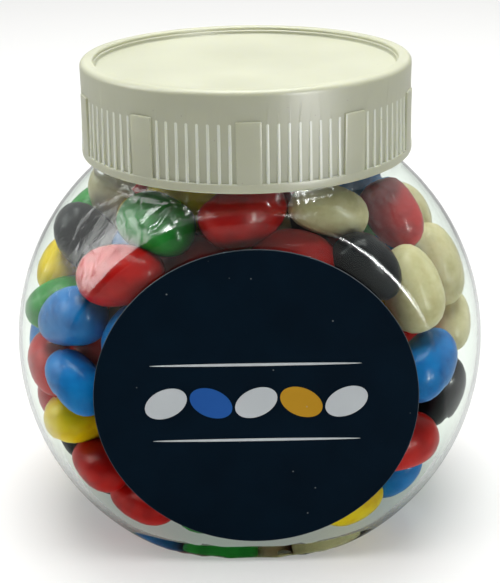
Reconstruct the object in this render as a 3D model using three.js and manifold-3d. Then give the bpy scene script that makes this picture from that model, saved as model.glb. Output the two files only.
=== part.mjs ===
// A clear round-bellied jar of jelly beans: a blown bowl with two flat faces, a ribbed white screw cap,
// a round dark label on the front and a heap of beans inside. Millimetres, +Z up, standing on z = 0,
// with the label facing -Y.
import * as THREE from "three";
import { mergeVertices } from "three/addons/utils/BufferGeometryUtils.js";
import Module from "manifold-3d";

const wasm = await Module();
wasm.setup();

// Jar: a sphere with a flat foot and two flat faces, thicker at the heel than at the shoulder.
const BOWL_RADIUS = 48.8;
const BOWL_CENTRE_Z = 36;
const FACE_Y = 32.4;
const HEEL_RADIUS = 5;
const WALL = 0.7;
const CAVITY_RAISE = 0.3;
const FLOOR_THICKNESS = 2.6;
const INNER_HEEL_RADIUS = 12;
const NECK_RADIUS = 30.4;
const NECK_WALL = 1.6;
const NECK_FILLET = 2.5;
const JAR_SEGMENTS = 44;

// Cap: a hollow skirt under a recessed top, with ten grip blocks and eight tapering ribs between each pair.
const HEIGHT = 96;
const CAP_HEIGHT = 18.5;
const CAP_RADIUS = 33;
const GRIP_PROUD = 0.5;
const CAP_WALL = 1.6;
const CAP_EDGE_ROUND = 1;
const CAP_TOP_THICKNESS = 1.5;
const RECESS_DEPTH = 1.6;
const RECESS_RADIUS = 29.4;
const BAND_HEIGHT = 1.8;
const BAND_ROUND = 0.5;
const BLOCK_COUNT = 10;
const BLOCK_TURN = 0.6;
const BLOCK_ANGLE = 8;
const BLOCK_TOP_DROP = 5.5;
const RIBS_PER_GAP = 8;
const RIB_ANGLE = 1.3;
const RIB_FIRST_ANGLE = 5.85;
const GRIP_SEAM = 0.03;
const CAP_SEGMENTS = 40;

// Label: a round paper sticker in the middle of the front face.
const LABEL_RADIUS = 31;
const LABEL_THICKNESS = 0.3;
const LABEL_X = 1;
const LABEL_SEGMENTS = 56;

// Beans: sugar shells about 17 mm long, each packed as a round-ended rod.
const BEAN_RADIUS = 5.7;
const BEAN_HALF_SPINE = 2.8;
const BEAN_SPREAD = 0.09;
const LOOSE_BEANS = 122;
const FILL_TOP_Z = 80;
const BEAN_SIDES = 8;
const BEAN_RINGS = 4;
const CORE_DEPTH = 7;
const SHOWING_DEPTH = 8.2;

// Gaps left between neighbouring pieces.
const CLEARANCE = 0.3;
const BEAN_GAP = 0.4;
const LABEL_GAP = 0.1;

const capBottomZ = HEIGHT - CAP_HEIGHT;
const capWallRadius = CAP_RADIUS - GRIP_PROUD;
const capInnerTopZ = HEIGHT - RECESS_DEPTH - CAP_TOP_THICKNESS;
const mouthZ = capInnerTopZ - CLEARANCE;

// The jar's outer form and the cavity inside it, each a bowl with a heel, a neck and two flat faces.
const OUTSIDE = {
  radius: BOWL_RADIUS,
  centre: new THREE.Vector3(0, 0, BOWL_CENTRE_Z),
  footZ: 0,
  heel: HEEL_RADIUS,
  neck: NECK_RADIUS,
  topZ: mouthZ,
  faceY: FACE_Y,
  steps: 11,
};
const CAVITY = {
  radius: BOWL_RADIUS - WALL,
  centre: new THREE.Vector3(0, 0, BOWL_CENTRE_Z + CAVITY_RAISE),
  footZ: FLOOR_THICKNESS,
  heel: INNER_HEEL_RADIUS,
  neck: NECK_RADIUS - NECK_WALL,
  topZ: mouthZ + WALL,
  faceY: FACE_Y - WALL,
  steps: 9,
};
const CORE = {
  radius: CAVITY.radius - CORE_DEPTH,
  centre: CAVITY.centre,
  footZ: CAVITY.footZ + CORE_DEPTH,
  heel: CAVITY.heel - CORE_DEPTH,
  neck: CAVITY.neck - CORE_DEPTH,
  topZ: FILL_TOP_Z - CORE_DEPTH,
  faceY: CAVITY.faceY - CORE_DEPTH,
  steps: 5,
};

// Solids from closed geometry, and geometry back from solids.
function solid(geometry) {
  const bare = geometry.index ? geometry.toNonIndexed() : geometry.clone();
  for (const name of Object.keys(bare.attributes)) {
    if (name !== "position") bare.deleteAttribute(name);
  }
  const merged = mergeVertices(bare, 1e-4);
  return new wasm.Manifold(
    new wasm.Mesh({
      numProp: 3,
      vertProperties: new Float32Array(merged.attributes.position.array),
      triVerts: new Uint32Array(merged.index.array),
    }),
  );
}

function meshOf(made, name, material) {
  const { numProp, vertProperties, triVerts } = made.getMesh();
  const geometry = new THREE.BufferGeometry();
  const interleaved = new THREE.InterleavedBuffer(vertProperties, numProp);
  geometry.setAttribute("position", new THREE.InterleavedBufferAttribute(interleaved, 3, 0));
  geometry.setIndex(new THREE.BufferAttribute(triVerts, 1));
  const mesh = new THREE.Mesh(geometry, material);
  mesh.name = name;
  return mesh;
}

// A lathe about +Z from a closed profile of [radius, z] points, listed from the foot of the axis upwards.
function turned(points, segments) {
  const profile = points.map(([radius, z]) => new THREE.Vector2(Math.max(radius, 0), z));
  const geometry = new THREE.LatheGeometry(profile, segments);
  geometry.rotateX(Math.PI / 2);
  return solid(geometry);
}

function box(xSize, ySize, zSize, x, y, z) {
  return solid(new THREE.BoxGeometry(xSize, ySize, zSize).translate(x, y, z));
}

// Points along an arc in the [radius, z] plane, from one angle to another in degrees.
function arc(centreRadius, centreZ, radius, from, to, steps) {
  return Array.from({ length: steps + 1 }, (_, i) => {
    const angle = THREE.MathUtils.degToRad(from + ((to - from) * i) / steps);
    return [centreRadius + radius * Math.cos(angle), centreZ + radius * Math.sin(angle)];
  });
}

// The circle that a bowl's heel is rounded about, and the angle at which the heel runs into the bowl.
function heelOf({ radius, centre, footZ, heel }) {
  const circleZ = footZ + heel;
  const circleRadius = Math.sqrt((radius - heel) ** 2 - (centre.z - circleZ) ** 2);
  return { circleRadius, circleZ, angle: Math.atan2(circleZ - centre.z, circleRadius) };
}

// A bowl whose shoulder flows into a straight neck, cut off at its two flat faces.
function bowl(form) {
  const { radius, centre, footZ, heel, neck, topZ, faceY, steps } = form;
  const { circleRadius, circleZ, angle } = heelOf(form);
  const heelAngle = THREE.MathUtils.radToDeg(angle);
  const filletRadius = neck + NECK_FILLET;
  const filletZ = centre.z + Math.sqrt((radius + NECK_FILLET) ** 2 - filletRadius ** 2);
  const shoulderAngle = THREE.MathUtils.radToDeg(Math.atan2(filletZ - centre.z, filletRadius));
  const round = turned(
    [
      [0, footZ],
      ...arc(circleRadius, circleZ, heel, -90, heelAngle, 2),
      ...arc(0, centre.z, radius, heelAngle, shoulderAngle, steps).slice(1),
      ...arc(filletRadius, filletZ, NECK_FILLET, 180 + shoulderAngle, 180, 2).slice(1),
      [neck, topZ],
      [0, topZ],
    ],
    JAR_SEGMENTS,
  );
  return round.intersect(box(4 * radius, 2 * faceY, 4 * radius, 0, 0, 0));
}

// The clear jar: the outer bowl with the cavity taken out through the mouth.
function makeJar() {
  const plastic = new THREE.MeshStandardMaterial({
    color: "#e9eeea",
    roughness: 0.06,
    metalness: 0,
    transparent: true,
    opacity: 0.25,
  });
  return meshOf(bowl(OUTSIDE).subtract(bowl(CAVITY)), "jar", plastic);
}

// The ring of grips round the skirt: an outline that steps out at each block and each rib, drawn up
// the wall. The ribs run out into the wall at their tops, and the blocks end in a ledge.
function gripRing() {
  const pitch = 360 / BLOCK_COUNT;
  const ribPitch = (pitch - 2 * RIB_FIRST_ANGLE) / (RIBS_PER_GAP - 1);
  const gripRadius = CAP_RADIUS - GRIP_SEAM;
  const rootRadius = capWallRadius + GRIP_SEAM;
  const outline = [];
  const addPoint = (radius, degrees) => {
    const angle = THREE.MathUtils.degToRad(degrees);
    outline.push(new THREE.Vector2(radius * Math.cos(angle), radius * Math.sin(angle)));
  };
  for (let block = 0; block < BLOCK_COUNT; block++) {
    const blockAngle = block * pitch;
    addPoint(rootRadius, blockAngle - BLOCK_ANGLE / 2);
    addPoint(gripRadius, blockAngle - BLOCK_ANGLE / 2);
    addPoint(gripRadius, blockAngle + BLOCK_ANGLE / 2);
    addPoint(rootRadius, blockAngle + BLOCK_ANGLE / 2);
    for (let rib = 0; rib < RIBS_PER_GAP; rib++) {
      const ribAngle = blockAngle + RIB_FIRST_ANGLE + rib * ribPitch;
      addPoint(rootRadius, ribAngle - RIB_ANGLE / 2);
      addPoint(gripRadius, ribAngle);
      addPoint(rootRadius, ribAngle + RIB_ANGLE / 2);
    }
  }
  const shape = new THREE.Shape(outline);
  shape.holes.push(new THREE.Path().absarc(0, 0, capWallRadius - CAP_WALL / 2, 0, 2 * Math.PI, true));
  const depth = CAP_HEIGHT - BLOCK_TOP_DROP - BAND_HEIGHT / 2;
  const drawn = { depth, bevelEnabled: false, curveSegments: CAP_SEGMENTS / 2 };
  const ring = new THREE.ExtrudeGeometry(shape, drawn);
  const place = ring.attributes.position;
  for (let i = 0; i < place.count; i++) {
    const [x, y, z] = [place.getX(i), place.getY(i), place.getZ(i)];
    const degrees = THREE.MathUtils.radToDeg(Math.atan2(y, x));
    const fromBlock = THREE.MathUtils.euclideanModulo(degrees + pitch / 2, pitch);
    const onRib = Math.abs(fromBlock - pitch / 2) > BLOCK_ANGLE / 2 + RIB_ANGLE;
    const radius = Math.hypot(x, y);
    if (onRib && z > depth / 2 && radius > rootRadius + GRIP_SEAM) {
      const drawnBack = (rootRadius + GRIP_SEAM) / radius;
      place.setXY(i, x * drawnBack, y * drawnBack);
    }
  }
  ring.rotateZ(THREE.MathUtils.degToRad(BLOCK_TURN - 90));
  return solid(ring.translate(0, 0, capBottomZ + BAND_HEIGHT / 2));
}

// The cap, moulded in one piece. One block faces the front, a little to the right.
function makeCap() {
  const innerRadius = capWallRadius - CAP_WALL;
  const recessZ = HEIGHT - RECESS_DEPTH;
  const bandTopZ = capBottomZ + BAND_HEIGHT;
  const skirt = turned(
    [
      [0, capInnerTopZ],
      [innerRadius, capInnerTopZ],
      [innerRadius, capBottomZ],
      ...arc(CAP_RADIUS - BAND_ROUND, capBottomZ + BAND_ROUND, BAND_ROUND, -90, 0, 1),
      [CAP_RADIUS, bandTopZ],
      [capWallRadius, bandTopZ],
      ...arc(capWallRadius - CAP_EDGE_ROUND, HEIGHT - CAP_EDGE_ROUND, CAP_EDGE_ROUND, 0, 90, 2),
      [RECESS_RADIUS + RECESS_DEPTH / 4, HEIGHT],
      [RECESS_RADIUS, recessZ],
      [0, recessZ],
    ],
    CAP_SEGMENTS,
  );
  const plastic = new THREE.MeshStandardMaterial({ color: "#ecebdf", roughness: 0.38, metalness: 0 });
  return meshOf(skirt.add(gripRing()), "cap", plastic);
}

// The label, a thin disc standing just off the front face.
function makeLabel() {
  const disc = new THREE.CylinderGeometry(LABEL_RADIUS, LABEL_RADIUS, LABEL_THICKNESS, LABEL_SEGMENTS);
  const paper = new THREE.MeshStandardMaterial({ color: "#06161f", roughness: 0.5, metalness: 0 });
  const mesh = meshOf(solid(disc), "label", paper);
  mesh.position.set(LABEL_X, -FACE_Y - LABEL_GAP - LABEL_THICKNESS / 2, BOWL_CENTRE_Z);
  return mesh;
}

// The view that the beans' places were read in: where the eye stands, how far it looks down and turns,
// and how many pixels one unit of slope covers round the middle of the picture.
const EYE = new THREE.Vector3(0, -244.2, 144.7);
const LOOK_DOWN = THREE.MathUtils.degToRad(22.1);
const LOOK_ROLL = THREE.MathUtils.degToRad(-0.9);
const PIXELS_PER_SLOPE = 1244;
const PICTURE_MIDDLE = [250, 291.5];

const lookForward = new THREE.Vector3(0, Math.cos(LOOK_DOWN), -Math.sin(LOOK_DOWN));
const lookRight = new THREE.Vector3(1, 0, 0).applyAxisAngle(lookForward, -LOOK_ROLL);
const lookUp = new THREE.Vector3().crossVectors(lookRight, lookForward);

// The beans that show at the front: the middle of each in pixels, the slope of its length in degrees, how
// far in from the wall it lies, in millimetres, where others lie in front of it, and its size to the usual.
const SHOWN_BEANS = [
  [72, 192, 50, 7, 0.9],
  [101, 199, 80, 3, 0.95],
  [76, 231, -40, 0, 1],
  [50, 257, 65, 2, 1],
  [48, 297, 40, 0, 1.05],
  [70, 322, 15, 0, 1],
  [126, 279, 8, 2, 1],
  [130, 326, 60, 0, 1],
  [44, 364, -70, 0, 1],
  [78, 378, -60, 1, 0.88],
  [52, 398, 80, 3, 1],
  [64, 420, -15, 0, 1.05],
  [97, 460, -48, 0, 1],
  [146, 504, -30, 0, 1],
  [188, 211, -60, 5, 1.1],
  [157, 228, -35, 0, 1.1],
  [248, 219, 0, 0, 1.15],
  [302, 247, -12, 0, 1],
  [328, 220, -20, 0, 1],
  [357, 186, -10, 12, 1],
  [391, 213, -58, 0, 1],
  [364, 264, -28, 0, 1],
  [420, 206, -62, 6, 1],
  [408, 291, -62, 0, 1],
  [458, 312, -82, 5, 1],
  [450, 260, -70, 4, 1],
  [386, 306, 70, 9, 1],
  [425, 364, 62, 0, 1],
  [446, 392, 48, 2, 1],
  [404, 447, 10, 0, 1],
  [388, 481, 30, 0, 1],
  [362, 511, 28, 0, 1],
  [210, 512, 0, 0, 1],
  [40, 346, 80, 3, 1],
  [72, 447, -40, 6, 1],
  [111, 492, -30, 6, 1],
  [192, 250, 10, 6, 1],
  [92, 347, 0, 7, 1],
];

// Where a bean seen at a pixel rests against the wall, and which way its length then runs: along the wall,
// but leaning away from the eye by no more than this slope.
const LEAN_MOST = 0.8;
function shownBean([pixelX, pixelY, slope, behind], rod) {
  const direction = lookForward
    .clone()
    .addScaledVector(lookRight, (pixelX - PICTURE_MIDDLE[0]) / PIXELS_PER_SLOPE)
    .addScaledVector(lookUp, (PICTURE_MIDDLE[1] - pixelY) / PIXELS_PER_SLOPE)
    .normalize();
  const clear = rod.radius + BEAN_GAP;
  const nearest = CAVITY.centre.clone().sub(EYE).dot(direction);
  const offAxis = EYE.clone().addScaledVector(direction, nearest).distanceTo(CAVITY.centre);
  const halfChord = Math.sqrt(Math.max((CAVITY.radius - clear) ** 2 - offAxis ** 2, 0));
  const toFace = (clear - CAVITY.faceY - EYE.y) / direction.y;
  const centre = EYE.clone().addScaledVector(direction, Math.max(nearest - halfChord, toFace) + behind);
  const nearestWall = walls(centre).sort((one, other) => one.room - other.room)[0];
  const axis = lookRight.clone().applyAxisAngle(lookForward, -THREE.MathUtils.degToRad(slope));
  const lean = -axis.dot(nearestWall.inward) / direction.dot(nearestWall.inward);
  axis.addScaledVector(direction, THREE.MathUtils.clamp(lean, -LEAN_MOST, LEAN_MOST)).normalize();
  const hold = { centre: centre.clone(), axis: axis.clone() };
  return { ...rod, centre, axis, mobility: SHOWN_MOBILITY, hold };
}

// The cavity's walls as seen from a point: how far off each one is, and the way back inside.
function walls(point) {
  const { circleRadius, circleZ, angle } = heelOf(CAVITY);
  const neckFootZ = CAVITY.centre.z + Math.sqrt(CAVITY.radius ** 2 - CAVITY.neck ** 2);
  const fromCentre = point.clone().sub(CAVITY.centre);
  const fromAxis = new THREE.Vector3(point.x, point.y, 0);
  const fromHeel = fromAxis.clone().setLength(fromAxis.length() - circleRadius);
  fromHeel.z = point.z - circleZ;
  const pastHeel = fromAxis.length() > circleRadius;
  let round = { room: CAVITY.radius - fromCentre.length(), outward: fromCentre };
  if (point.z > neckFootZ) {
    round = { room: CAVITY.neck - fromAxis.length(), outward: fromAxis };
  } else if (pastHeel && fromHeel.z < Math.tan(angle) * (fromAxis.length() - circleRadius)) {
    round = { room: CAVITY.heel - fromHeel.length(), outward: fromHeel };
  }
  return [
    { room: round.room, inward: round.outward.normalize().negate() },
    { room: CAVITY.faceY - Math.abs(point.y), inward: new THREE.Vector3(0, -Math.sign(point.y), 0) },
    { room: point.z - CAVITY.footZ, inward: new THREE.Vector3(0, 0, 1) },
  ];
}

// How far a point lies below the level that the jar is filled to.
function levelRoom(point) {
  return FILL_TOP_Z - point.z;
}

// How much further in a loose bean lies, where the shown ones take the front that is clear of the label.
function heldBack(point, inward) {
  const toEye = EYE.clone().sub(point).normalize();
  const fromEye = point.clone().sub(EYE);
  const seen = EYE.clone().addScaledVector(fromEye, (-FACE_Y - EYE.y) / fromEye.y);
  const offLabel = Math.hypot(seen.x - LABEL_X, seen.z - BOWL_CENTRE_Z) > LABEL_RADIUS - BEAN_RADIUS;
  return inward.dot(toEye) < -FRONT_FACING && offLabel ? FRONT_DEPTH : 0;
}

// A repeatable stream of draws between 0 and 1.
let drawState = 20257;
function draw() {
  drawState = (1664525 * drawState + 1013904223) % 4294967296;
  return drawState / 4294967296;
}

function drawDirection() {
  const z = 2 * draw() - 1;
  const angle = 2 * Math.PI * draw();
  const across = Math.sqrt(1 - z * z);
  return new THREE.Vector3(across * Math.cos(angle), across * Math.sin(angle), z);
}

function drawRod(usual) {
  const size = usual * (1 + BEAN_SPREAD * (2 * draw() - 1));
  const slimness = 1 + BEAN_SPREAD * (2 * draw() - 1);
  return {
    radius: BEAN_RADIUS * size,
    half: BEAN_HALF_SPINE * size * slimness,
    shift: new THREE.Vector3(),
    turn: new THREE.Vector3(),
  };
}

function looseBean() {
  const rod = drawRod(1);
  const centre = new THREE.Vector3();
  do {
    centre.set(draw() - 0.5, draw() - 0.5, draw() - 0.5).multiplyScalar(2 * BOWL_RADIUS).add(CAVITY.centre);
  } while (levelRoom(centre) < rod.radius || walls(centre).some(({ room }) => room < rod.radius));
  return { ...rod, centre, axis: drawDirection(), mobility: 1 };
}

// How far along each of two rods their nearest points lie.
function nearestSpots(one, other) {
  const between = one.centre.clone().sub(other.centre);
  const alike = one.axis.dot(other.axis);
  const onOne = one.axis.dot(between);
  const onOther = other.axis.dot(between);
  const clamp = THREE.MathUtils.clamp;
  const skew = 1 - alike * alike;
  const first = skew > 1e-6 ? clamp((alike * onOther - onOne) / skew, -one.half, one.half) : 0;
  const otherSpot = clamp(alike * first + onOther, -other.half, other.half);
  return [clamp(alike * otherSpot - onOne, -one.half, one.half), otherSpot];
}

// How the beans settle: how hard they are to turn, in square millimetres, how many rounds they get, the share
// of each push that they give way by in a round, and how many rounds then clear the walls.
const TURN_STIFFNESS = 18;
const SETTLE_ROUNDS = 400;
const SETTLE_SHARE = 0.3;
const CLEAR_ROUNDS = 40;

// Loose beans are drawn up to a wall that is this near, by a share of the gap, but stay this much further
// in behind the shown ones, wherever a wall faces the eye or nearly so. The shown ones hold to their places.
const PULL_REACH = 6;
const PULL_SHARE = 0.05;
const FRONT_DEPTH = 8;
const FRONT_FACING = -0.25;
const SHOWN_MOBILITY = 0.05;
const HOLD_SHARE = 0.3;
const DOWN = new THREE.Vector3(0, 0, -1);

// Notes a push at a spot along a rod, as part shift and part turn.
function note(rod, spot, way, amount) {
  const shift = amount / (1 + (spot * spot) / TURN_STIFFNESS);
  rod.shift.addScaledVector(way, shift);
  rod.turn.addScaledVector(way, (shift * spot) / TURN_STIFFNESS);
}

// Notes what the walls and the fill level do to a rod at its two ends: they push it off, or draw it near.
function noteWalls(rod, pullShare) {
  for (const spot of [-rod.half, rod.half]) {
    const end = rod.centre.clone().addScaledVector(rod.axis, spot);
    const clear = rod.radius + BEAN_GAP;
    note(rod, spot, DOWN, Math.max(clear - levelRoom(end), 0));
    for (const { room, inward } of walls(end)) {
      const lack = clear + (rod.hold ? 0 : heldBack(end, inward)) - room;
      const pulled = !rod.hold && lack < 0 && lack > -PULL_REACH;
      note(rod, spot, inward, pulled ? pullShare * lack : Math.max(lack, 0));
    }
  }
}

// Notes how two rods push each other apart where they overlap.
function noteOverlap(one, other) {
  const reach = one.radius + other.radius;
  if (one.centre.distanceTo(other.centre) > reach + one.half + other.half) return;
  const [spot, otherSpot] = nearestSpots(one, other);
  const way = one.centre
    .clone()
    .addScaledVector(one.axis, spot)
    .sub(other.centre)
    .addScaledVector(other.axis, -otherSpot);
  const overlap = reach - way.length();
  if (overlap <= 0) return;
  way.normalize();
  const share = overlap / (one.mobility + other.mobility);
  note(one, spot, way, share * one.mobility);
  note(other, otherSpot, way, -share * other.mobility);
}

// Notes how a shown rod keeps to its place.
function noteHold({ shift, turn, centre, axis, hold }) {
  shift.addScaledVector(hold.centre, HOLD_SHARE).addScaledVector(centre, -HOLD_SHARE);
  turn.addScaledVector(hold.axis, HOLD_SHARE).addScaledVector(axis, -HOLD_SHARE);
}

// Moves a rod by its share of what was noted.
function giveWay(rod) {
  rod.centre.addScaledVector(rod.shift, SETTLE_SHARE);
  rod.axis.addScaledVector(rod.turn, SETTLE_SHARE).normalize();
  rod.shift.set(0, 0, 0);
  rod.turn.set(0, 0, 0);
}

// Lets all the rods push each other and the walls apart until they lie side by side, then clears the walls.
function settle(rods) {
  for (let round = 0; round < SETTLE_ROUNDS; round++) {
    rods.forEach((one, i) => {
      for (const other of rods.slice(i + 1)) noteOverlap(one, other);
      noteWalls(one, PULL_SHARE);
      if (one.hold) noteHold(one);
    });
    rods.forEach(giveWay);
  }
  for (let round = 0; round < CLEAR_ROUNDS; round++) {
    for (const rod of rods) {
      noteWalls(rod, 0);
      giveWay(rod);
    }
  }
  return rods;
}

// One bean with few sides: a blunt egg along its rod.
function beanSolid({ centre, axis, radius, half }) {
  const length = radius + half;
  const profile = Array.from({ length: BEAN_RINGS + 1 }, (_, i) => {
    const angle = (Math.PI * i) / BEAN_RINGS - Math.PI / 2;
    return new THREE.Vector2(Math.max(radius * Math.cos(angle), 0), length * Math.sin(angle));
  });
  profile[0].x = 0;
  profile[BEAN_RINGS].x = 0;
  const turn = new THREE.Quaternion().setFromUnitVectors(new THREE.Vector3(0, 1, 0), axis);
  const geometry = new THREE.LatheGeometry(profile, BEAN_SIDES).applyQuaternion(turn);
  return solid(geometry.translate(centre.x, centre.y, centre.z));
}

// The heap: a core well inside the wall with every bean that shows fused on to it.
function makeBeans() {
  const shown = SHOWN_BEANS.map((place) => shownBean(place, drawRod(place[4])));
  const loose = Array.from({ length: LOOSE_BEANS }, looseBean);
  const beans = settle([...shown, ...loose]);
  const showing = beans.filter(({ centre }) => walls(centre).some(({ room }) => room < SHOWING_DEPTH));
  const heap = showing.reduce((whole, bean) => whole.add(beanSolid(bean)), bowl(CORE));
  const sugar = new THREE.MeshStandardMaterial({ color: "#a8372f", roughness: 0.3, metalness: 0 });
  return meshOf(heap, "jelly_beans", sugar);
}

const jarOfBeans = new THREE.Group();
jarOfBeans.add(makeJar(), makeCap(), makeLabel(), makeBeans());

export default jarOfBeans;
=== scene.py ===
import math

import bpy
import numpy as np
from mathutils import Matrix, Vector


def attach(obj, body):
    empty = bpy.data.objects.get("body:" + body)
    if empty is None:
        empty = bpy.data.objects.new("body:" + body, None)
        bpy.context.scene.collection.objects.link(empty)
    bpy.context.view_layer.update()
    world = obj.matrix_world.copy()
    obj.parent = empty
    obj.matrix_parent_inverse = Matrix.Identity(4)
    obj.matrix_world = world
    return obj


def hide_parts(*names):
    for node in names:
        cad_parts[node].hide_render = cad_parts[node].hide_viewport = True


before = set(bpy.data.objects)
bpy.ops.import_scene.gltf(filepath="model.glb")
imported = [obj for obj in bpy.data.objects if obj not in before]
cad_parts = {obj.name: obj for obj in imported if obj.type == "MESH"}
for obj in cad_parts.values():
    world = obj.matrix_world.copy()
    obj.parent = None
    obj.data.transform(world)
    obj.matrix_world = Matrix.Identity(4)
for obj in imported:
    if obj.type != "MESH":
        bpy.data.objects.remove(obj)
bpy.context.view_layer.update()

# The jar: clear PET, stretched and blown into a mould as a round bowl with two flat faces and a flat foot.
# The wall is thin, and thickens at the heel where the plastic stretches least.
# It is drawn as two skins, outside and cavity, joined round the mouth.
MM = 0.001
BOWL_RADIUS = 48.8 * MM
BOWL_CENTRE_Z = 36 * MM
FACE_Y = 32.4 * MM
WALL = 0.7 * MM
CAVITY_RAISE = 0.3 * MM
CAP_TOP_UNDERSIDE_Z = 92.9 * MM
CAP_GAP = 0.3 * MM
MOUTH_Z = CAP_TOP_UNDERSIDE_Z - CAP_GAP
OUTSIDE = {
    "radius": BOWL_RADIUS,
    "centre": BOWL_CENTRE_Z,
    "foot": 0.0,
    "heel": 5 * MM,
    "neck": 30.4 * MM,
    "face": FACE_Y,
    "rim": 3.2 * MM,
    "low_rim": 10 * MM,
    "neck_fillet": 2.5 * MM,
}
CAVITY = {
    "radius": BOWL_RADIUS - WALL,
    "centre": BOWL_CENTRE_Z + CAVITY_RAISE,
    "foot": 2.6 * MM,
    "heel": 12 * MM,
    "neck": 28.8 * MM,
    "face": FACE_Y - WALL,
    "rim": 2.6 * MM,
    "low_rim": 9.4 * MM,
    "neck_fillet": 4.1 * MM,
}
RIM_CRISP_HEIGHT = 0.12
RIM_SOFT_HEIGHT = -0.35
SKIN_STEPS = 240
FACE_RINGS = 8
RIM_STEPS = 8
BELLY_STEPS = 60
NECK_STEPS = 6
SPIN_WELD = 0.002 * MM
NECK_WELD = 0.05 * MM
BOWL_CREASE = math.radians(40)


def arc(centre, radius, start, end, steps):
    """Points (across, up) along an arc, with its angles in radians."""
    angles = [start + (end - start) * i / steps for i in range(steps + 1)]
    return [(centre[0] + radius * math.cos(a), centre[1] + radius * math.sin(a)) for a in angles]


def draw_chain(name, points):
    """A new mesh, left in edit mode, that starts as one point and is extruded from place to place."""
    bpy.ops.object.select_all(action="DESELECT")
    bpy.ops.mesh.primitive_plane_add(size=MM)
    piece = bpy.context.object
    piece.name = piece.data.name = name
    bpy.ops.object.mode_set(mode="EDIT")
    bpy.ops.mesh.select_mode(type="VERT")
    bpy.ops.mesh.merge(type="CENTER")
    bpy.ops.transform.translate(value=points[0])
    for here, there in zip(points, points[1:]):
        step = Vector(there) - Vector(here)
        bpy.ops.mesh.extrude_region_move(TRANSFORM_OT_translate={"value": step})
    return piece


def spin_closed(centre, axis, steps):
    """Spins the chain in edit mode right round, and closes and turns out the skin that it leaves."""
    bpy.ops.mesh.select_all(action="SELECT")
    bpy.ops.mesh.spin(steps=steps, angle=math.tau, center=centre, axis=axis)
    bpy.ops.mesh.select_all(action="SELECT")
    bpy.ops.mesh.remove_doubles(threshold=SPIN_WELD)
    bpy.ops.mesh.normals_make_consistent(inside=False)


def heel_circle(form):
    """The circle that a form's heel is rounded about: its radius and height, and where the heel ends."""
    height = form["foot"] + form["heel"]
    drop = form["centre"] - height
    radius = math.sqrt((form["radius"] - form["heel"]) ** 2 - drop**2)
    return radius, height, math.atan2(-drop, radius)


def press_foot(piece, form):
    """Draws the points below the heel in towards the middle, on to the heel's round and the flat foot."""
    circle_radius, circle_z, heel_angle = heel_circle(form)
    middle = Vector((0, 0, form["centre"]))
    for vertex in piece.data.vertices:
        way = vertex.co - middle
        across = math.hypot(way.x, way.y)
        if way.z >= 0:
            continue
        square = across**2 + way.z**2
        toward = across * circle_radius + way.z * (circle_z - middle.z)
        off = circle_radius**2 + (circle_z - middle.z) ** 2 - form["heel"] ** 2
        root = toward**2 - square * off
        share = 1.0
        if root > 0:
            reach = (toward + math.sqrt(root)) / square
            angle = math.atan2(reach * way.z + middle.z - circle_z, reach * across - circle_radius)
            if -math.pi / 2 <= angle <= heel_angle:
                share = min(share, reach)
        foot_reach = (form["foot"] - middle.z) / way.z
        if foot_reach * across < circle_radius:
            share = min(share, foot_reach)
        vertex.co = middle + way * share


def bowl_section(form, rim):
    """The bowl's half section, as (across, out) from the middle of one flat face round to the other's."""
    radius, face = form["radius"], form["face"]
    rim_centre = (math.sqrt((radius - rim) ** 2 - (face - rim) ** 2), face - rim)
    rim_angle = math.atan2(rim_centre[1], rim_centre[0])
    flat = [(rim_centre[0] * i / FACE_RINGS, face) for i in range(FACE_RINGS)]
    half = flat + arc(rim_centre, rim, math.pi / 2, rim_angle, RIM_STEPS)
    belly = arc((0, 0), radius, rim_angle, -rim_angle, BELLY_STEPS)[1:-1]
    return half + belly + [(across, -out) for across, out in reversed(half)]


def soften_low_rim(piece, form, crisp):
    """Lets the faces' rims, crisp round the top, run out into the belly round the bottom."""
    soft = np.array(bowl_section(form, form["low_rim"]))
    crisp = np.array(crisp)
    middle = Vector((0, 0, form["centre"]))
    for vertex in piece.data.vertices:
        way = vertex.co - middle
        across = math.hypot(way.x, way.z)
        if across < MM:
            continue
        height = way.z / across
        share = np.clip((RIM_CRISP_HEIGHT - height) / (RIM_CRISP_HEIGHT - RIM_SOFT_HEIGHT), 0, 1)
        share = share * share * (3 - 2 * share)
        index = np.argmin(abs(crisp[:, 0] - across) + abs(crisp[:, 1] + way.y))
        new_across, new_out = crisp[index] + (soft[index] - crisp[index]) * share
        vertex.co = middle + Vector((way.x * new_across / across, -new_out, way.z * new_across / across))


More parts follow.
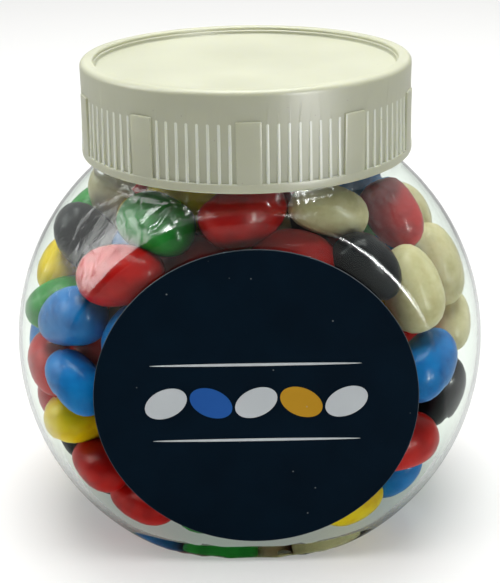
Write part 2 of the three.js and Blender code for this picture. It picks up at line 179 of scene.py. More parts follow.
def blow_skin(name, form):
    """One skin of the jar: spun about the line through its flat faces, pressed to its foot, and necked."""
    crisp = bowl_section(form, form["rim"])
    piece = draw_chain(name, [(0, -out, form["centre"] + across) for across, out in crisp])
    spin_closed((0, 0, form["centre"]), (0, 1, 0), SKIN_STEPS)
    bpy.ops.object.mode_set(mode="OBJECT")
    soften_low_rim(piece, form, crisp)
    press_foot(piece, form)

    fillet_across = form["neck"] + form["neck_fillet"]
    fillet_z = form["centre"] + math.sqrt((form["radius"] + form["neck_fillet"]) ** 2 - fillet_across**2)
    shoulder = math.atan2(fillet_z - form["centre"], fillet_across)
    neck = arc((fillet_across, fillet_z), form["neck_fillet"], math.pi + shoulder, math.pi, NECK_STEPS)
    neck.append((form["neck"], MOUTH_Z))
    bpy.ops.object.mode_set(mode="EDIT")
    bpy.ops.mesh.select_all(action="SELECT")
    bpy.ops.mesh.bisect(plane_co=(0, 0, neck[0][1]), plane_no=(0, 0, 1), clear_outer=True)
    bpy.ops.mesh.select_all(action="DESELECT")
    bpy.ops.mesh.select_mode(type="EDGE")
    bpy.ops.mesh.select_non_manifold()
    for (across, z), (next_across, next_z) in zip(neck, neck[1:]):
        bpy.ops.mesh.extrude_region_move(TRANSFORM_OT_translate={"value": (0, 0, next_z - z)})
        shrink = next_across / across
        bpy.ops.transform.resize(value=(shrink, shrink, 1), center_override=(0, 0, next_z))
    bpy.ops.mesh.select_all(action="SELECT")
    bpy.ops.mesh.remove_doubles(threshold=NECK_WELD)
    bpy.ops.object.mode_set(mode="OBJECT")
    return piece


jar = blow_skin("clear_jar", OUTSIDE)
blow_skin("inner_skin", CAVITY)
bpy.ops.object.mode_set(mode="EDIT")
bpy.ops.mesh.select_all(action="SELECT")
bpy.ops.mesh.flip_normals()
bpy.ops.object.mode_set(mode="OBJECT")
jar.select_set(True)
bpy.context.view_layer.objects.active = jar
bpy.ops.object.join()
bpy.ops.object.mode_set(mode="EDIT")
bpy.ops.mesh.select_all(action="DESELECT")
bpy.ops.mesh.select_non_manifold()
bpy.ops.mesh.bridge_edge_loops()
bpy.ops.object.mode_set(mode="OBJECT")
bpy.ops.object.shade_smooth_by_angle(angle=BOWL_CREASE)


def linear(code):
    """An sRGB hex colour as the linear RGBA that sockets take."""
    channels = [int(code[i : i + 2], 16) / 255 for i in (1, 3, 5)]
    return [c / 12.92 if c <= 0.04045 else ((c + 0.055) / 1.055) ** 2.4 for c in channels] + [1.0]


def add_node(tree, kind, settings, links):
    """Adds one node, with its settings by input or property name and its links by input name."""
    node = tree.nodes.new(kind)
    for name, value in settings.items():
        if isinstance(name, int) or name in node.inputs:
            node.inputs[name].default_value = value
        else:
            setattr(node, name, value)
    for name, socket in links.items():
        tree.links.new(socket, node.inputs[name])
    return node


def start_material(name, settings):
    """A new material with its main shader set: it, its nodes, the shader and the object's coordinates."""
    material = bpy.data.materials.new(name)
    material.use_nodes = True
    tree = material.node_tree
    shader = tree.nodes["Principled BSDF"]
    for socket, value in settings.items():
        shader.inputs[socket].default_value = value
    coordinates = add_node(tree, "ShaderNodeTexCoord", {}, {})
    return material, tree, shader, coordinates.outputs["Object"]


# Blown PET: clear and glossy, smooth on its flat faces and their rims, and puckered where it stretched over
# the shoulder, so what it mirrors there breaks up. The puckered gloss is a coat. Under it the index is far
# below PET's 1.57, so that the even surround doesn't haze the beans, and light goes on nearly straight.
PET_WAVE = 14 * MM
PET_RIPPLE = 9 * MM
PET_TURNS = 1
SHOULDER_GLOSS = 0.6
pet, tree, shader, place = start_material(
    "clear_blown_pet",
    {
        "Base Color": linear("#FBFDFB"),
        "Roughness": 0.02,
        "IOR": 1.14,
        "Transmission Weight": 1.0,
        "Specular Tint": linear("#686868"),
        "Coat Roughness": 0.14,
        "Coat IOR": 1.45,
    },
)
wave = add_node(tree, "ShaderNodeTexNoise", {"Scale": 1 / PET_WAVE, "Detail": 1.0}, {"Vector": place})
streak = add_node(tree, "ShaderNodeMapping", {"Scale": (2, 2, 1)}, {"Vector": place})
ripple = add_node(
    tree,
    "ShaderNodeTexNoise",
    {"Scale": 1 / PET_RIPPLE, "Detail": 1.5, "Distortion": 1.0},
    {"Vector": streak.outputs["Vector"]},
)
parts = add_node(tree, "ShaderNodeSeparateXYZ", {}, {"Vector": place})
shoulder = add_node(
    tree,
    "ShaderNodeMapRange",
    {"From Min": 40 * MM, "From Max": 60 * MM, "To Min": 0.0, "To Max": SHOULDER_GLOSS},
    {"Value": parts.outputs["Z"]},
)
slant = add_node(tree, "ShaderNodeLayerWeight", {"Blend": 0.5}, {})
facing = add_node(
    tree,
    "ShaderNodeMapRange",
    {"From Min": 0.5, "From Max": 0.66, "To Min": 1.0, "To Max": 0.05},
    {"Value": slant.outputs["Facing"]},
)
depth = add_node(tree, "ShaderNodeMath", {"operation": "ABSOLUTE"}, {0: parts.outputs["Y"]})
off_face = add_node(
    tree,
    "ShaderNodeMapRange",
    {"From Min": FACE_Y - 0.12 * MM, "From Max": FACE_Y - 0.02 * MM, "To Min": 1.0, "To Max": 0.25},
    {"Value": depth.outputs["Value"]},
)
off_rim = add_node(
    tree,
    "ShaderNodeMapRange",
    {"From Min": FACE_Y - 2.5 * MM, "From Max": FACE_Y - 1.0 * MM, "To Min": 1.0, "To Max": 0.1},
    {"Value": depth.outputs["Value"]},
)
glossy = add_node(
    tree,
    "ShaderNodeMath",
    {"operation": "MULTIPLY"},
    {0: shoulder.outputs["Result"], 1: facing.outputs["Result"]},
)
gloss = add_node(
    tree,
    "ShaderNodeMath",
    {"operation": "MULTIPLY"},
    {0: glossy.outputs["Value"], 1: off_face.outputs["Result"]},
)
tree.links.new(gloss.outputs["Value"], shader.inputs["Coat Weight"])
swell = add_node(
    tree, "ShaderNodeBump", {"Strength": 0.06, "Distance": 0.4 * MM}, {"Height": wave.outputs["Fac"]}
)
bump = add_node(
    tree,
    "ShaderNodeBump",
    {"Distance": 0.7 * MM},
    {
        "Strength": off_rim.outputs["Result"],
        "Height": ripple.outputs["Fac"],
        "Normal": swell.outputs["Normal"],
    },
)
tree.links.new(swell.outputs["Normal"], shader.inputs["Normal"])
tree.links.new(bump.outputs["Normal"], shader.inputs["Coat Normal"])

# Only the first looks through the wall are bent. Shadows, scattered light and deeper looks go straight on.
passing = add_node(tree, "ShaderNodeBsdfTransparent", {"Color": linear("#F4F8F5")}, {})
path = add_node(tree, "ShaderNodeLightPath", {}, {})
deep = add_node(
    tree,
    "ShaderNodeMath",
    {"operation": "GREATER_THAN", 1: PET_TURNS + 0.5},
    {0: path.outputs["Ray Depth"]},
)
lit = add_node(
    tree,
    "ShaderNodeMath",
    {"operation": "MAXIMUM"},
    {0: path.outputs["Is Shadow Ray"], 1: path.outputs["Is Diffuse Ray"]},
)
unbent = add_node(
    tree, "ShaderNodeMath", {"operation": "MAXIMUM"}, {0: lit.outputs["Value"], 1: deep.outputs["Value"]}
)
choice = add_node(tree, "ShaderNodeMixShader", {}, {"Fac": unbent.outputs["Value"]})
tree.links.new(shader.outputs["BSDF"], choice.inputs[1])
tree.links.new(passing.outputs["BSDF"], choice.inputs[2])
tree.links.new(choice.outputs["Shader"], tree.nodes["Material Output"].inputs["Surface"])
jar.data.materials.append(pet)
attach(jar, "root")
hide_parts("jar")

# The jelly beans: starch-jelly centres panned with a hard sugar shell and polished with wax.
# They were poured in and lie as they fell, so those that show at the front are listed one by one and the rest
# are drawn at random. All then push each other apart until they lie side by side.
BEAN_RADIUS = 5.7 * MM
BEAN_HALF_SPINE = 2.8 * MM
BEAN_SPREAD = 0.09
BEAN_GAP = 0.4 * MM
LOOSE_BEANS = 122
FILL_TOP_Z = 80 * MM
FRONT_DEPTH = 8 * MM
FRONT_FACING = -0.25
PULL_REACH = 6 * MM
PULL_SHARE = 0.05
LEAN_MOST = 0.8
SHOWN_MOBILITY = 0.05
HOLD_SHARE = 0.3
TURN_STIFFNESS = 18 * MM**2
SETTLE_ROUNDS = 400
SETTLE_SHARE = 0.3
CLEAR_ROUNDS = 40
LEAST_SKEW = 1e-6
LABEL_RADIUS = 31 * MM
LABEL_X = 1 * MM

# The eye that saw them: where it stands, how far it looks down, turns and leans, and its focal length
# in pixels of a picture of this size.
EYE = np.array([0, -244.2, 144.7]) * MM
LOOK_DOWN = math.radians(22.1)
LOOK_ROLL = math.radians(-0.9)
LOOK_TURN = math.radians(-0.04)
FOCAL_PIXELS = 1244
PICTURE = (500, 583)

# Each bean that shows at the front: its colour, its middle in pixels, the slope of its length in degrees,
# how far in from the wall it lies, in millimetres, where others lie in front of it, and its size next to
# the usual one.
SHOWN_BEANS = [
    ("green", 72, 192, 50, 7, 0.9),
    ("white", 101, 199, 80, 3, 0.95),
    ("black", 76, 231, -40, 0, 1),
    ("yellow", 50, 257, 65, 2, 1),
    ("green", 48, 297, 40, 0, 1.05),
    ("blue", 70, 322, 15, 0, 1),
    ("red", 126, 279, 8, 2, 1),
    ("blue", 130, 326, 60, 0, 1),
    ("red", 44, 364, -70, 0, 1),
    ("blue", 78, 378, -60, 1, 0.88),
    ("red", 52, 398, 80, 3, 1),
    ("yellow", 64, 420, -15, 0, 1.05),
    ("red", 97, 460, -48, 0, 1),
    ("red", 146, 504, -30, 0, 1),
    ("yellow", 188, 211, -60, 5, 1.1),
    ("green", 157, 228, -35, 0, 1.1),
    ("red", 248, 219, 0, 0, 1.15),
    ("red", 302, 247, -12, 0, 1),
    ("white", 328, 220, -20, 0, 1),
    ("blue", 357, 186, -10, 12, 1),
    ("red", 391, 213, -58, 0, 1),
    ("black", 364, 264, -28, 0, 1),
    ("white", 420, 206, -62, 6, 1),
    ("white", 408, 291, -62, 0, 1),
    ("white", 458, 312, -82, 5, 1),
    ("white", 450, 260, -70, 4, 1),
    ("yellow", 386, 306, 70, 9, 1),
    ("blue", 425, 364, 62, 0, 1),
    ("black", 446, 392, 48, 2, 1),
    ("red", 404, 447, 10, 0, 1),
    ("blue", 388, 481, 30, 0, 1),
    ("yellow", 362, 511, 28, 0, 1),
    ("green", 210, 512, 0, 0, 1),
    ("blue", 40, 346, 80, 3, 1),
    ("black", 72, 447, -40, 6, 1),
    ("black", 111, 492, -30, 6, 1),
    ("red", 192, 250, 10, 6, 1),
    ("red", 92, 347, 0, 7, 1),
]

look_forward = np.array([0, math.cos(LOOK_DOWN), -math.sin(LOOK_DOWN)])
level_up = np.array([0, math.sin(LOOK_DOWN), math.cos(LOOK_DOWN)])
look_right = np.array([math.cos(LOOK_ROLL), 0, 0]) + math.sin(LOOK_ROLL) * level_up
look_up = np.cross(look_right, look_forward)
cavity_middle = np.array([0, 0, CAVITY["centre"]])
draw_state = 20257
DRAW_FACTOR = 1664525
DRAW_STEP = 1013904223
DRAW_RANGE = 2**32


def draw():
    """The next of a repeatable stream of draws between 0 and 1."""
    global draw_state
    draw_state = (DRAW_FACTOR * draw_state + DRAW_STEP) % DRAW_RANGE
    return draw_state / DRAW_RANGE


def draw_rod(usual=1):
    """A bean's thickness and spine, as a round-ended rod."""
    size = usual * (1 + BEAN_SPREAD * (2 * draw() - 1))
    slimness = 1 + BEAN_SPREAD * (2 * draw() - 1)
    return BEAN_RADIUS * size, BEAN_HALF_SPINE * size * slimness


def dot(a, b):
    return np.einsum("ij,ij->i", a, b)


def unit(ways):
    return ways / np.linalg.norm(ways, axis=-1, keepdims=True)


def walls(points):
    """The cavity's walls as seen from points: how far off each is, and the way back inside."""
    circle_radius, circle_z, heel_angle = heel_circle(CAVITY)
    neck_foot = CAVITY["centre"] + math.sqrt(CAVITY["radius"] ** 2 - CAVITY["neck"] ** 2)
    from_centre = points - cavity_middle
    from_axis = points * (1, 1, 0)
    across = np.linalg.norm(from_axis, axis=1)
    from_heel = unit(from_axis) * (across - circle_radius)[:, None]
    from_heel[:, 2] = points[:, 2] - circle_z
    room = CAVITY["radius"] - np.linalg.norm(from_centre, axis=1)
    outward = from_centre
    heeled = (across > circle_radius) & (from_heel[:, 2] < math.tan(heel_angle) * (across - circle_radius))
    necked = points[:, 2] > neck_foot
    room = np.where(heeled, CAVITY["heel"] - np.linalg.norm(from_heel, axis=1), room)
    outward = np.where(heeled[:, None], from_heel, outward)
    room = np.where(necked, CAVITY["neck"] - across, room)
    outward = np.where(necked[:, None], from_axis, outward)
    level = np.zeros_like(points)
    sideways, upward = level.copy(), level.copy()
    sideways[:, 1] = -np.sign(points[:, 1])
    upward[:, 2] = 1
    return [
        (room, -unit(outward)),
        (CAVITY["face"] - abs(points[:, 1]), sideways),
        (points[:, 2] - CAVITY["foot"], upward),
    ]


def level_room(points):
    """How far points lie below the level that the jar is filled to."""
    return FILL_TOP_Z - points[:, 2]


def held_back(points, inward):
    """How much further in loose beans lie, where the shown ones take the front that is clear of the label."""
    to_eye = unit(EYE - points)
    reach = (-FACE_Y - EYE[1]) / (points[:, 1] - EYE[1])
    seen = EYE + (points - EYE) * reach[:, None]
    off_label = np.hypot(seen[:, 0] - LABEL_X, seen[:, 2] - BOWL_CENTRE_Z) > LABEL_RADIUS - BEAN_RADIUS
    return np.where((dot(inward, to_eye) < -FRONT_FACING) & off_label, FRONT_DEPTH, 0)


def shown_bean(pixel_x, pixel_y, slope, behind, radius):
    """Where a bean seen at a pixel rests against the wall, and which way its length then runs."""
    right = (pixel_x - PICTURE[0] / 2) / FOCAL_PIXELS
    up = (PICTURE[1] / 2 - pixel_y) / FOCAL_PIXELS
    direction = unit(look_forward + right * look_right + up * look_up)
    clear = radius + BEAN_GAP
    nearest = (cavity_middle - EYE) @ direction
    off_axis = np.linalg.norm(EYE + nearest * direction - cavity_middle)
    half_chord = math.sqrt(max((CAVITY["radius"] - clear) ** 2 - off_axis**2, 0))
    to_face = (clear - CAVITY["face"] - EYE[1]) / direction[1]
    centre = EYE + direction * (max(nearest - half_chord, to_face) + behind * MM)
    inward = min(walls(centre[None]), key=lambda wall: wall[0][0])[1][0]
    slope = math.radians(slope)
    length = look_right * math.cos(slope) + look_up * math.sin(slope)
    lean = np.clip(-(length @ inward) / (direction @ inward), -LEAN_MOST, LEAN_MOST)
    return centre, unit(length + lean * direction)


def loose_bean(radius):
    """A bean dropped anywhere inside, lying any way."""
    while True:
        centre = np.array([draw() - 0.5, draw() - 0.5, draw() - 0.5]) * 2 * BOWL_RADIUS + cavity_middle
        rooms = [room[0] for room, _ in walls(centre[None])]
        if min(rooms + [level_room(centre[None])[0]]) >= radius:
            break
    height = 2 * draw() - 1
    turn = math.tau * draw()
    across = math.sqrt(1 - height * height)
    return centre, np.array([across * math.cos(turn), across * math.sin(turn), height])


rods, places = [], []
for colour, pixel_x, pixel_y, slope, behind, size in SHOWN_BEANS:
    rods.append(draw_rod(size))
    places.append(shown_bean(pixel_x, pixel_y, slope, behind, rods[-1][0]))
for _ in range(LOOSE_BEANS):
    rods.append(draw_rod())
    places.append(loose_bean(rods[-1][0]))
bean_radius, bean_half = np.array(rods).T
bean_centre = np.array([centre for centre, _ in places])
bean_axis = np.array([axis for _, axis in places])
every_bean = np.arange(len(rods))
loose = every_bean >= len(SHOWN_BEANS)
mobility = np.where(loose, 1.0, SHOWN_MOBILITY)
shown_centre, shown_axis = bean_centre[~loose], bean_axis[~loose]
one, other = np.triu_indices(len(rods), 1)
reach = bean_radius[one] + bean_radius[other]
far = reach + bean_half[one] + bean_half[other]


def note_push(shift, turn, beans, spot, push):
    """Adds a push at a spot along each bean, as part shift and part turn."""
    moved = push / (1 + spot**2 / TURN_STIFFNESS)[:, None]
    np.add.at(shift, beans, moved)
    np.add.at(turn, beans, moved * (spot / TURN_STIFFNESS)[:, None])


def push_off_walls(shift, turn, pull_share):
    """Adds what walls and fill level do to both ends: they push beans off, and draw loose ones near."""
    clear = bean_radius + BEAN_GAP
    for spot in (-bean_half, bean_half):
        end = bean_centre + bean_axis * spot[:, None]
        sunk = np.maximum(clear - level_room(end), 0)
        note_push(shift, turn, every_bean, spot, np.outer(sunk, (0, 0, -1)))
        for room, inward in walls(end):
            lack = clear + np.where(loose, held_back(end, inward), 0) - room
            pulled = loose & (lack < 0) & (lack > -PULL_REACH)
            push = np.where(pulled, pull_share * lack, np.maximum(lack, 0))
            note_push(shift, turn, every_bean, spot, inward * push[:, None])


def push_apart(shift, turn):
    """Adds how beans that overlap push each other apart at their nearest spots."""
    near = np.linalg.norm(bean_centre[one] - bean_centre[other], axis=1) < far
    i, j = one[near], other[near]
    between = bean_centre[i] - bean_centre[j]
    alike = dot(bean_axis[i], bean_axis[j])
    on_one, on_other = dot(bean_axis[i], between), dot(bean_axis[j], between)
    skew = 1 - alike**2
    first = np.where(skew > LEAST_SKEW, (alike * on_other - on_one) / np.maximum(skew, LEAST_SKEW), 0)
    first = np.clip(first, -bean_half[i], bean_half[i])
    other_spot = np.clip(alike * first + on_other, -bean_half[j], bean_half[j])
    spot = np.clip(alike * other_spot - on_one, -bean_half[i], bean_half[i])
    way = between + bean_axis[i] * spot[:, None] - bean_axis[j] * other_spot[:, None]
    overlap = np.maximum(reach[near] - np.linalg.norm(way, axis=1), 0)
    push = unit(way) * (overlap / (mobility[i] + mobility[j]))[:, None]
    note_push(shift, turn, i, spot, push * mobility[i][:, None])
    note_push(shift, turn, j, other_spot, -push * mobility[j][:, None])


for round_number in range(SETTLE_ROUNDS + CLEAR_ROUNDS):
    shift, turn = np.zeros_like(bean_centre), np.zeros_like(bean_axis)
    settling = round_number < SETTLE_ROUNDS
    push_off_walls(shift, turn, PULL_SHARE if settling else 0)
    if settling:
        push_apart(shift, turn)
        shift[~loose] += HOLD_SHARE * (shown_centre - bean_centre[~loose])
        turn[~loose] += HOLD_SHARE * (shown_axis - bean_axis[~loose])
    bean_centre = bean_centre + SETTLE_SHARE * shift
    bean_axis = unit(bean_axis + SETTLE_SHARE * turn)

# One bean to copy: a ball whose rings are swelled to a blunt egg. Each copy is bent a little along the
# wall that it lies on and made uneven, as panned sugar is.
BEAN_SEGMENTS = 24
BEAN_RINGS = 14
BEAN_BLUNTNESS = 2.3
BEAN_FLATNESS = 0.94
BEAN_BEND = 0.16
BEND_MIDDLE = 0.35
BEAN_TAPER = 0.12
BEAN_UNEVENNESS = 0.03
BEAN_LUMPS = 5
LUMP_TURNS = 1.5
BEAN_PRESS = 0.3 * MM
BEAN_SEED = 3002
bpy.ops.object.select_all(action="DESELECT")
bpy.ops.mesh.primitive_uv_sphere_add(segments=BEAN_SEGMENTS, ring_count=BEAN_RINGS, radius=1)
ball = bpy.context.object
ball_points = np.array([vertex.co for vertex in ball.data.vertices])
ball_faces = [tuple(polygon.vertices) for polygon in ball.data.polygons]
bpy.ops.object.delete()
along = ball_points[:, 2]
around = np.linalg.norm(ball_points[:, :2], axis=1)
egg_size = (abs(along) ** BEAN_BLUNTNESS + around**BEAN_BLUNTNESS) ** (-1 / BEAN_BLUNTNESS)
egg = ball_points * egg_size[:, None]

bean_inward = np.zeros_like(bean_centre)
bean_depth = np.full(len(rods), np.inf)
for room, inward in walls(bean_centre):
    bean_inward = np.where((room < bean_depth)[:, None], inward, bean_inward)
    bean_depth = np.minimum(room, bean_depth)
shuffle = np.random.default_rng(BEAN_SEED)


def bean_points(index):
    """The points of one bean, in place."""
    axis, inward = bean_axis[index], bean_inward[index]
    sideways = unit(np.cross(axis, inward))
    through = np.cross(sideways, axis)
    radius, length = bean_radius[index], bean_radius[index] + bean_half[index]
    lumps = shuffle.normal(size=(BEAN_LUMPS, 3)) * LUMP_TURNS
    phases = shuffle.uniform(0, math.tau, BEAN_LUMPS)
    swell = 1 + BEAN_UNEVENNESS * (np.sin(egg @ lumps.T + phases).mean(axis=1) * 2 - 1)
    lean = shuffle.uniform(-1, 1) * BEAN_TAPER
    bend = shuffle.uniform(-1, 1) * BEAN_BEND * radius
    along = egg[:, 2] * length * swell
    taper = 1 + lean * egg[:, 2]
    across = egg[:, 0] * radius * swell * taper + bend * (egg[:, 2] ** 2 - BEND_MIDDLE)
    deep = egg[:, 1] * radius * BEAN_FLATNESS * swell * taper
    middle = bean_centre[index] - inward * BEAN_PRESS
    return middle + along[:, None] * axis + across[:, None] * sideways + deep[:, None] * through


BEAN_COLOURS = {
    "red": {"share": 0.28, "shell": "#BE0F0A", "light": "#CC1C12", "deep": "#A00806"},
    "blue": {"share": 0.20, "shell": "#0A74C0", "light": "#1482CC", "deep": "#0660A8"},
    "green": {"share": 0.14, "shell": "#1C8E2C", "light": "#2A9C38", "deep": "#127822"},
    "yellow": {"share": 0.15, "shell": "#F4D208", "light": "#F8DC20", "deep": "#E6BC04"},
    "white": {"share": 0.13, "shell": "#DED4A4", "light": "#E6DDB4", "deep": "#CFC490"},
    "black": {"share": 0.10, "shell": "#101418", "light": "#181C20", "deep": "#0A0C0F"},
}
SHELL_MOTTLE = 3.5 * MM
SHELL_GRAIN = 0.5 * MM
CORE_DEPTH = 15 * MM

colour_names = list(BEAN_COLOURS)
colour_shares = [BEAN_COLOURS[name]["share"] for name in colour_names]
bean_colours = [colour for colour, *_ in SHOWN_BEANS]
bean_colours += [colour_names[i] for i in shuffle.choice(len(colour_names), LOOSE_BEANS, p=colour_shares)]
bean_shapes = [bean_points(index) for index in every_bean]

for colour, shades in BEAN_COLOURS.items():
    points, faces = [], []
    for index in every_bean:
        if bean_colours[index] != colour or bean_depth[index] > CORE_DEPTH + BEAN_RADIUS:
            continue
        offset = len(points) * len(egg)
        points.append(bean_shapes[index])
        faces += [tuple(corner + offset for corner in face) for face in ball_faces]
    mesh = bpy.data.meshes.new(f"{colour}_beans")
    mesh.from_pydata(np.concatenate(points), [], faces)
    mesh.shade_smooth()
    beans = bpy.data.objects.new(f"{colour}_beans", mesh)
    bpy.context.collection.objects.link(beans)

    # Polished sugar shell: waxy and glossy, its colour a little clouded and its skin faintly pitted.
    sugar, tree, shader, place = start_material(
        f"{colour}_sugar_shell",
        {
            "IOR": 1.5,
            "Subsurface Weight": 0.12,
            "Subsurface Radius": (1.0, 0.6, 0.4),
            "Subsurface Scale": 1.2 * MM,
            "Specular IOR Level": 0.08,
            "Coat Weight": 0.2,
            "Coat Roughness": 0.06,
            "Coat IOR": 1.4,
        },
    )
    mottle = add_node(
        tree,
        "ShaderNodeTexNoise",
        {"Scale": 1 / SHELL_MOTTLE, "Detail": 4.0, "Roughness": 0.6},
        {"Vector": place},
    )
    cloud = add_node(tree, "ShaderNodeValToRGB", {}, {"Fac": mottle.outputs["Fac"]})
    cloud.color_ramp.elements[0].position = 0.3
    cloud.color_ramp.elements[0].color = linear(shades["deep"])
    cloud.color_ramp.elements[1].position = 0.72
    cloud.color_ramp.elements[1].color = linear(shades["light"])
    cloud.color_ramp.elements.new(0.5).color = linear(shades["shell"])
    tree.links.new(cloud.outputs["Color"], shader.inputs["Base Color"])
    gloss = add_node(
        tree, "ShaderNodeMapRange", {"To Min": 0.25, "To Max": 0.4}, {"Value": mottle.outputs["Fac"]}
    )
    tree.links.new(gloss.outputs["Result"], shader.inputs["Roughness"])
    grain = add_node(tree, "ShaderNodeTexNoise", {"Scale": 1 / SHELL_GRAIN, "Detail": 2.0}, {"Vector": place})
    bump = add_node(
        tree, "ShaderNodeBump", {"Strength": 0.04, "Distance": 0.05 * MM}, {"Height": grain.outputs["Fac"]}
    )
    tree.links.new(bump.outputs["Normal"], shader.inputs["Normal"])
    beans.data.materials.append(sugar)
    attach(beans, "root")
    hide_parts("jelly_beans")

# The heart of the heap, which no light reaches and hardly anything shows of: one dark form under the beans,
# its colour painted shade.
# It stands for the beans in the middle, which touch no wall.
HEART = {
    "radius": CAVITY["radius"] - CORE_DEPTH,
    "centre": CAVITY["centre"],
    "foot": CAVITY["foot"] + CORE_DEPTH,
    "heel": 6 * MM,
    "face": CAVITY["face"] - CORE_DEPTH,
}
HEART_SEGMENTS = 48
HEART_RINGS = 24
HEART_BLOTCH = 10 * MM
bpy.ops.object.select_all(action="DESELECT")
bpy.ops.mesh.primitive_uv_sphere_add(
    segments=HEART_SEGMENTS, ring_count=HEART_RINGS, radius=HEART["radius"]
)
heart = bpy.context.object
heart.name = heart.data.name = "heap_heart"
bpy.ops.object.mode_set(mode="EDIT")
bpy.ops.transform.translate(value=(0, 0, HEART["centre"]))
for side in (-1, 1):
    bpy.ops.mesh.select_all(action="SELECT")
    bpy.ops.mesh.bisect(
        plane_co=(0, side * HEART["face"], 0), plane_no=(0, side, 0), clear_outer=True, use_fill=True
    )
bpy.ops.object.mode_set(mode="OBJECT")
press_foot(heart, HEART)
bpy.ops.object.shade_smooth_by_angle(angle=BOWL_CREASE)
shade, tree, shader, place = start_material("beans_in_shade", {"Roughness": 0.6})
blotch = add_node(tree, "ShaderNodeTexVoronoi", {"Scale": 1 / HEART_BLOTCH}, {"Vector": place})
# Painted shade: the heart's colour is the dark of beans that no light reaches, blotched between two dark
# tones.
painted_shade_tone = add_node(tree, "ShaderNodeValToRGB", {}, {"Fac": blotch.outputs["Color"]})
painted_shade_tone.color_ramp.elements[0].color = linear("#3A0E0A")
painted_shade_tone.color_ramp.elements[1].color = linear("#4A3A20")
tree.links.new(painted_shade_tone.outputs["Color"], shader.inputs["Base Color"])
heart.data.materials.append(shade)
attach(heart, "root")
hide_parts("jelly_beans")

# The screw cap: white polypropylene, injection moulded in one piece and screwed down over the neck.
# Its top is recessed inside a rounded rim, and its skirt carries ten blocks with thin ribs between them.
CAP_TOP_Z = 96 * MM
CAP_BOTTOM_Z = 77.5 * MM
CAP_RADIUS = 33 * MM
CAP_WALL_RADIUS = 32.5 * MM
CAP_INNER_RADIUS = 30.9 * MM
CAP_SHOULDER = 1.1 * MM
CAP_LIP = 0.5 * MM
BAND_TOP_Z = CAP_BOTTOM_Z + 1.8 * MM
BAND_ROUND = 0.15 * MM
RECESS_Z = CAP_TOP_Z - 1.6 * MM
RECESS_RADIUS = 29.4 * MM
RIM_STEP = 0.45 * MM
CAP_STEPS = 240
LIP_STEPS = 5
BAND_STEPS = 3
SHOULDER_STEPS = 8
RECESS_STEPS = 4
CAP_CREASE = math.radians(32)

cap_section = [
    (0, CAP_TOP_UNDERSIDE_Z),
    (CAP_INNER_RADIUS, CAP_TOP_UNDERSIDE_Z),
    (CAP_INNER_RADIUS, CAP_BOTTOM_Z + CAP_LIP),
    (CAP_INNER_RADIUS + CAP_LIP, CAP_BOTTOM_Z),
]
cap_section += arc((CAP_RADIUS - CAP_LIP, CAP_BOTTOM_Z + CAP_LIP), CAP_LIP, -math.pi / 2, 0, LIP_STEPS)
band_middle = (CAP_RADIUS - BAND_ROUND, BAND_TOP_Z - BAND_ROUND)
cap_section += arc(band_middle, BAND_ROUND, 0, math.pi / 2, BAND_STEPS)
cap_section.append((CAP_WALL_RADIUS, BAND_TOP_Z))
shoulder_middle = (CAP_WALL_RADIUS - CAP_SHOULDER, CAP_TOP_Z - CAP_SHOULDER)
cap_section += arc(shoulder_middle, CAP_SHOULDER, 0, math.pi / 2, SHOULDER_STEPS)
recess_middle = (RECESS_RADIUS + 2 * RIM_STEP, CAP_TOP_Z - RIM_STEP)
cap_section += arc(recess_middle, RIM_STEP, math.pi / 2, math.pi, RECESS_STEPS)
cap_section += [
    (RECESS_RADIUS + RIM_STEP, RECESS_Z + 2 * RIM_STEP),
    (RECESS_RADIUS + RIM_STEP / 2, RECESS_Z + 1.6 * RIM_STEP),
    (RECESS_RADIUS + RIM_STEP / 3, RECESS_Z + RIM_STEP / 3),
    (RECESS_RADIUS, RECESS_Z),
    (RECESS_RADIUS / 2, RECESS_Z),
    (0, RECESS_Z),
]
cap = draw_chain("screw_cap", [(across, 0, z) for across, z in cap_section])
spin_closed((0, 0, 0), (0, 0, 1), CAP_STEPS)
bpy.ops.object.mode_set(mode="OBJECT")

BLOCK_COUNT = 10
BLOCK_TURN = math.radians(0.6)
BLOCK_ANGLE = math.radians(8)
BLOCK_TOP_Z = CAP_TOP_Z - 5.5 * MM
BLOCK_DRAFT = 0.06 * MM
BLOCK_TOP_RISE = 0.12 * MM
BLOCK_STEPS = 8
RIBS_PER_GAP = 8
RIB_FIRST_ANGLE = math.radians(5.85)
RIB_WIDTH = 0.58 * MM
RIB_TOP_Z = CAP_TOP_Z - 5.9 * MM
RIB_TOP_PROUD = 0.05 * MM
RIB_LEAST_PROUD = 0.02 * MM
GRIP_ROUND = 0.14 * MM
GRIP_ROOT_RADIUS = CAP_INNER_RADIUS + 0.8 * MM
GRIP_FOOT_Z = CAP_BOTTOM_Z + 1 * MM
GRIP_RADIUS = CAP_RADIUS - 0.03 * MM


def round_edges(piece, width):
    """Rounds a small solid's sharp edges."""
    bevel = piece.modifiers.new("round", "BEVEL")
    bevel.width = width
    bevel.segments = 2
    bevel.limit_method = "ANGLE"
    bpy.ops.object.modifier_apply(modifier=bevel.name)


# A block is a flat-topped pad that follows the skirt's curve.
block = draw_chain(
    "grip_block",
    [
        (GRIP_ROOT_RADIUS, 0, GRIP_FOOT_Z),
        (GRIP_RADIUS, 0, GRIP_FOOT_Z),
        (GRIP_RADIUS - BLOCK_DRAFT, 0, BLOCK_TOP_Z),
        (GRIP_ROOT_RADIUS, 0, BLOCK_TOP_Z + BLOCK_TOP_RISE),
    ],
)
bpy.ops.mesh.select_all(action="SELECT")
bpy.ops.mesh.edge_face_add()
bpy.ops.mesh.spin(steps=BLOCK_STEPS, angle=BLOCK_ANGLE, center=(0, 0, 0), axis=(0, 0, 1))
bpy.ops.mesh.select_all(action="SELECT")
bpy.ops.mesh.remove_doubles(threshold=SPIN_WELD)
bpy.ops.mesh.normals_make_consistent(inside=False)
bpy.ops.object.mode_set(mode="OBJECT")
block_angles = [math.atan2(vertex.co.y, vertex.co.x) for vertex in block.data.vertices]
